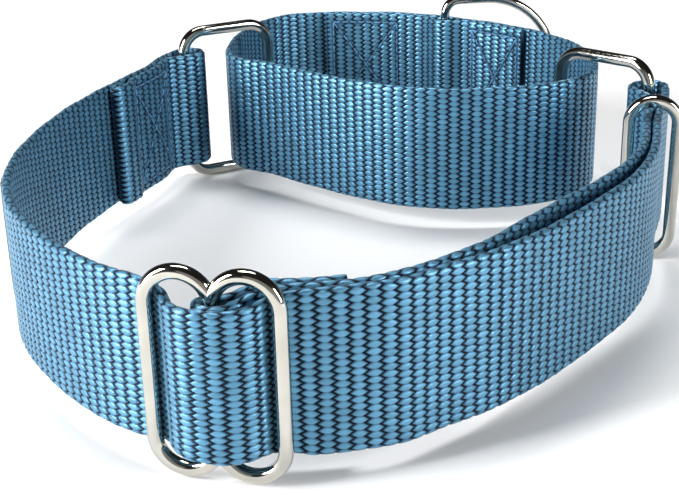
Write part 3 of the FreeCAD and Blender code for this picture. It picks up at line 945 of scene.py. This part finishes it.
strap_right = web_piece("strap_right", strap, cuts["right_front"], cuts["right"])
right_nodes = ["strap_right_" + str(i) for i in (3, 4, 5, 6)] + ["strap_fold_right"]
finish_piece(strap_right, WEBBING, right_nodes, "neck_strap")
strap_inner = web_piece("strap_inner", strap, cuts["right"], cuts["inner"])
finish_piece(strap_inner, WEBBING, ["strap_inner_" + str(i) for i in (1, 2, 3)], "neck_strap")
inner_front = web_piece("strap_inner_front", strap, cuts["inner"], cuts["sewn"])
finish_piece(inner_front, WEBBING, ["strap_inner_4", "strap_inner_5", "strap_inner_end"])

sewn_box = box_seams(strap.long - 17.0, strap.long - 2.2, low_seam, high_seam, -1)
sewn_piece = web_piece("sewn_end", strap, cuts["sewn"], cuts["end"], seams=sewn_box, squeeze=sewn_squeeze)
finish_piece(sewn_piece, WEBBING, ["sewn_end_front", "sewn_end_bend", "sewn_end_back"], "adjuster")


def on_arc(angle):
    x, y, z = metres([*polar(angle, FRONT_R), WEB_MID])
    return (x, y, z)


on_arc(-62)
on_arc(-18)
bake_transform(hump_left)
on_arc(18)
on_arc(62)
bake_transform(hump_right)
on_arc(75)
on_arc(30)
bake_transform(inner_front)

# ---- the control loop ----
LOOP_RIBS = 2 * round(control.long / RIB / 2)
loop_pitch = control.long / LOOP_RIBS
right_box = (bar_mark - OVERLAP_RIGHT + 2.5, bar_mark - POCKET_HALF - 2.5)
left_box = (bar_mark + POCKET_HALF + 10.0, bar_mark + OVERLAP_LEFT - 2.5)
loop_seams = box_seams(*right_box, low_seam, high_seam, 1) + box_seams(*left_box, low_seam, high_seam, 1)
thirds = [0, 34, 68, 106, LOOP_RIBS]
loop_nodes = [
    ["control_front_1", "control_front_2", "control_front_3", "control_front_4"],
    ["control_bend_right", "control_back_1", "control_back_2"],
    ["control_back_3", "control_back_4"],
    ["control_back_5", "control_bend_left"],
]
for number, names in enumerate(loop_nodes):
    name = "control_loop_" + str(number + 1)
    piece = web_piece(name, control, thirds[number], thirds[number + 1], loop_pitch, seams=loop_seams)
    finish_piece(piece, WEBBING, names, "control_loop")

layer_bar = overlap.nearest(control.at(bar_mark, -POCKET_DEPTH))
layer_right = (2.0, layer_bar - POCKET_HALF - 2.0)
layer_left = (layer_bar + POCKET_HALF + 9.5, overlap.long - 2.5)
layer_seams = box_seams(*layer_right, low_seam, high_seam, -1)
layer_seams += box_seams(*layer_left, low_seam, high_seam, -1)
layer_pitch = overlap.long / round(overlap.long / RIB)
layer = web_piece("control_overlap", overlap, 0, round(overlap.long / RIB), layer_pitch, seams=layer_seams)
finish_piece(
    layer, WEBBING, ["overlap_right", "overlap_pocket", "overlap_left"], "control_loop"
)

# ---- stitching ----
half_web = WEB_THICK / 2


def stitched(name, run, seams, nodes, body, proud=half_web - 0.12):
    rows = [path for seam in seams for path in stitch_row(run, seam, proud)]
    return finish_piece(thread_piece(name, rows), THREAD, nodes, body)


stitched("flap_thread", strap, outer_box + inner_box, ["flap_stitching"], "neck_strap")
stitched("sewn_end_thread", strap, sewn_box, ["sewn_end_stitching"], "adjuster")
stitched("loop_thread", control, loop_seams, [], "control_loop")
stitched(
    "overlap_thread",
    overlap,
    layer_seams,
    ["overlap_stitching_left", "overlap_stitching_right"],
    "control_loop",
)


def patch_piece():
    """A blank woven patch: a thin pillow with turned-in edges, which follows the strap."""
    rows, columns = 90, 66
    u = np.linspace(-1, 1, rows + 1)[:, None]
    v = np.linspace(-1, 1, columns + 1)[None, :]
    # rounded corners: the square grid is drawn in towards a superellipse near its corners
    draw = 1 - 0.035 * (u * u * v * v) ** 3
    marks = (patch_from + patch_to) / 2 + u * draw * (patch_to - patch_from) / 2
    heights = (patch_low + patch_high) / 2 + v * draw * (patch_high - patch_low) / 2
    edge = np.clip(np.minimum((1 - np.abs(u)) * 22.5, (1 - np.abs(v)) * 16.4), 0, None)
    roll = np.sqrt(np.clip(1 - (1 - np.clip(edge / 0.7, 0, 1)) ** 2, 0, 1))
    border = np.exp(-((edge - 2.0) ** 2) / 0.3)
    ribs = 0.05 * np.cos(2 * pi * marks / RIB)
    lift = half_web + 0.1 + 0.95 * roll + 0.12 * np.exp(-((edge - 0.8) ** 2) / 0.4) - 0.22 * border + ribs
    top = np.concatenate([strap.at(marks, lift), heights[..., None]], -1).reshape(-1, 3)
    back = strap.at(marks, lift * 0 + half_web - 0.1)
    under = np.concatenate([back, heights[..., None]], -1).reshape(-1, 3)
    wide = columns + 1
    row = np.arange(rows)[:, None]
    column = np.arange(columns)[None, :]
    here = row * wide + column
    quads = np.stack([here, here + wide, here + wide + 1, here + 1], -1).reshape(-1, 4)[:, ::-1]
    rim = np.concatenate(
        [
            np.arange(wide),
            np.arange(1, rows + 1) * wide + columns,
            rows * wide + np.arange(columns - 1, -1, -1),
            np.arange(rows - 1, 0, -1) * wide,
        ]
    )
    after = np.roll(rim, -1)
    count = len(top)
    skirt = np.stack([rim, after, after + count, rim + count], -1)[:, ::-1]
    all_quads = np.vstack([quads, (quads + count)[:, ::-1], skirt])
    cloth = np.stack([marks + 0 * v, heights + 0 * u, 0 * u * v], -1).reshape(-1, 3)
    points = np.vstack([top, under])
    values = {"cloth": np.vstack([cloth, cloth])}
    return mesh_piece("blank_woven_patch", points, all_quads, np.zeros((0, 3), int), values)


patch = patch_piece()
finish_piece(patch, PATCH, ["blank_patch"], "neck_strap")
patch_seams = box_seams(patch_from + 2.0, patch_to - 2.0, patch_low + 2.0, patch_high - 2.0, 1, crossed=False)
patch_rows = [path for seam in patch_seams for path in stitch_row(strap, seam, half_web + 0.98, 2.6)]
finish_piece(thread_piece("patch_thread", patch_rows), BLACK_THREAD, [], "neck_strap")

# ---- the metal ----
rounded_ring = rounded_path(RING_WIDTH, RING_HEIGHT, RING_CORNER_R, RING_WIRE_R)
ring_mid = RING_HEIGHT / 2
left_ring = wire_piece("left_ring_wire", rounded_ring, RING_WIRE_R, LEFT_RING_AT, LEFT_RING_TURN, ring_mid)
finish_piece(left_ring, NICKEL, ["left_ring"], "left_ring")
right_ring = wire_piece(
    "right_ring_wire", rounded_ring, RING_WIRE_R, RIGHT_RING_AT, RIGHT_RING_TURN, ring_mid
)
finish_piece(right_ring, NICKEL, ["right_ring"], "right_ring")

keeper_path = rounded_path(KEEPER_WIDTH, KEEPER_HEIGHT, KEEPER_WIDTH / 2 - KEEPER_WIRE_R, KEEPER_WIRE_R)
keeper = wire_piece(
    "keeper_wire", keeper_path, KEEPER_WIRE_R, KEEPER_AT, KEEPER_TURN, KEEPER_MID, lean=KEEPER_LEAN
)
finish_piece(keeper, NICKEL, ["keeper_ring"], "keeper")

straight = SLIDE_HEIGHT / 2 - SLIDE_WIRE_R - SLIDE_LOOP_R
near_loop = np.vstack(
    [
        arc(-SLIDE_LOOP_R, straight, SLIDE_LOOP_R, 0, 180, 36),
        arc(-SLIDE_LOOP_R, -straight, SLIDE_LOOP_R, 180, 180, 36),
    ]
)
far_loop = np.vstack(
    [
        [[0.0, straight - 3.0]],
        arc(SLIDE_LOOP_R, straight, SLIDE_LOOP_R, 180, -180, 36),
        arc(SLIDE_LOOP_R, -straight, SLIDE_LOOP_R, 0, -180, 36),
        [[0.0, -straight + 3.0]],
    ]
)
slide_a = wire_piece(
    "slide_wire_left", near_loop, SLIDE_WIRE_R, slide_middle, SLIDE_TURN, SLIDE_MID, square=SLIDE_SECTION
)
finish_piece(slide_a, NICKEL, ["slide_frame"], "adjuster")
slide_b = wire_piece(
    "slide_wire_right",
    far_loop,
    SLIDE_WIRE_R,
    slide_middle,
    SLIDE_TURN,
    SLIDE_MID,
    square=SLIDE_SECTION,
    closed=False,
    taper=lambda t: 1 - 0.08 * np.exp(-((np.minimum(t, 1 - t) / 0.015) ** 2)),
)
finish_piece(slide_b, NICKEL, [], "adjuster")

inner_z = D_HEIGHT / 2 - D_WIRE_R
d_path = np.vstack(
    [
        arc(D_CORNER_R, inner_z - D_CORNER_R, D_CORNER_R, 180, -90),
        arc(D_STRAIGHT, 0, inner_z, 90, -180, 60),
        arc(D_CORNER_R, -inner_z + D_CORNER_R, D_CORNER_R, 270, -90),
    ]
)
d_ring = wire_piece("d_ring_wire", d_path, D_WIRE_R, d_bar, D_TURN, D_HEIGHT / 2, square=2.2)
finish_piece(d_ring, NICKEL, ["d_ring"], "d_ring")


# ---- floor, camera and light ----


def studio_floor():
    reach = 2.5
    line = np.linspace(-reach, reach, 9)
    x, y = np.meshgrid(line, line, indexing="ij")
    points = np.stack([x, y, 0 * x - 0.0002], -1).reshape(-1, 3)
    row, column = (g.ravel() for g in np.meshgrid(np.arange(8), np.arange(8), indexing="ij"))
    here = row * 9 + column
    quads = np.stack([here, here + 9, here + 10, here + 1], -1)
    mesh = bpy.data.meshes.new("studio_floor")
    mesh.from_pydata(points.tolist(), [], quads.tolist())
    floor = bpy.data.objects.new("studio_floor", mesh)
    bpy.context.scene.collection.objects.link(floor)
    mesh.materials.append(floor_material())


studio_floor()

camera_data = bpy.data.cameras.new("camera")
camera_data.sensor_width = 36.0
camera_data.lens = 71.28
camera_data.clip_start = 0.01
camera = bpy.data.objects.new("camera", camera_data)
camera.matrix_world = (
    Matrix.Translation((-0.00608, -0.36565, 0.15248))
    @ Matrix.Rotation(radians(90 - 22.34), 4, "X")
    @ Matrix.Rotation(radians(-1.5), 4, "Z")
)
bpy.context.scene.collection.objects.link(camera)
bpy.context.scene.camera = camera


def softbox(name, place, aim, width, height, power, colour=(1, 1, 1)):
    data = bpy.data.lights.new(name, "AREA")
    data.shape = "RECTANGLE"
    data.size = width
    data.size_y = height
    data.energy = power
    data.color = colour
    lamp = bpy.data.objects.new(name, data)
    lamp.location = place
    lamp.rotation_euler = (Vector(aim) - Vector(place)).to_track_quat("-Z", "Y").to_euler()
    bpy.context.scene.collection.objects.link(lamp)


middle = (0.0, 0.0, 0.025)
softbox("left softbox", (-1.0, -0.45, 0.4), middle, 0.3, 0.8, 30)
softbox("right softbox", (0.95, -0.6, 0.4), middle, 0.22, 0.6, 13)
softbox("top softbox", (-0.1, 0.35, 1.2), middle, 0.7, 0.3, 10)
softbox("front card", (0.1, -1.5, 0.5), middle, 2.0, 0.9, 1.6, (1.0, 0.96, 0.9))


def studio_world():
    """Dim grey surroundings that the metal reflects; the camera itself sees a pale backdrop."""
    world = bpy.data.worlds.new("studio")
    bpy.context.scene.world = world
    world.use_nodes = True
    tree = world.node_tree
    background = tree.nodes["Background"]
    place = tree.nodes.new("ShaderNodeTexCoord")
    height = node(tree, "ShaderNodeSeparateXYZ", {0: place.outputs["Generated"]}).outputs["Z"]
    greys = [(0.0, 0.32), (0.1, 0.14), (0.35, 0.02)]
    shade = ramp(tree, height, [(place_z, (grey, grey, grey)) for place_z, grey in greys])
    path = tree.nodes.new("ShaderNodeLightPath")
    mixed = node(tree, "ShaderNodeMix", data_type="RGBA")
    tree.links.new(path.outputs["Is Camera Ray"], mixed.inputs["Factor"])
    tree.links.new(shade, mixed.inputs[6])
    mixed.inputs[7].default_value = (0.9, 0.9, 0.9, 1)
    tree.links.new(mixed.outputs[2], background.inputs["Color"])
    background.inputs["Strength"].default_value = 1.0


studio_world()
bpy.context.scene.view_settings.view_transform = "Standard"
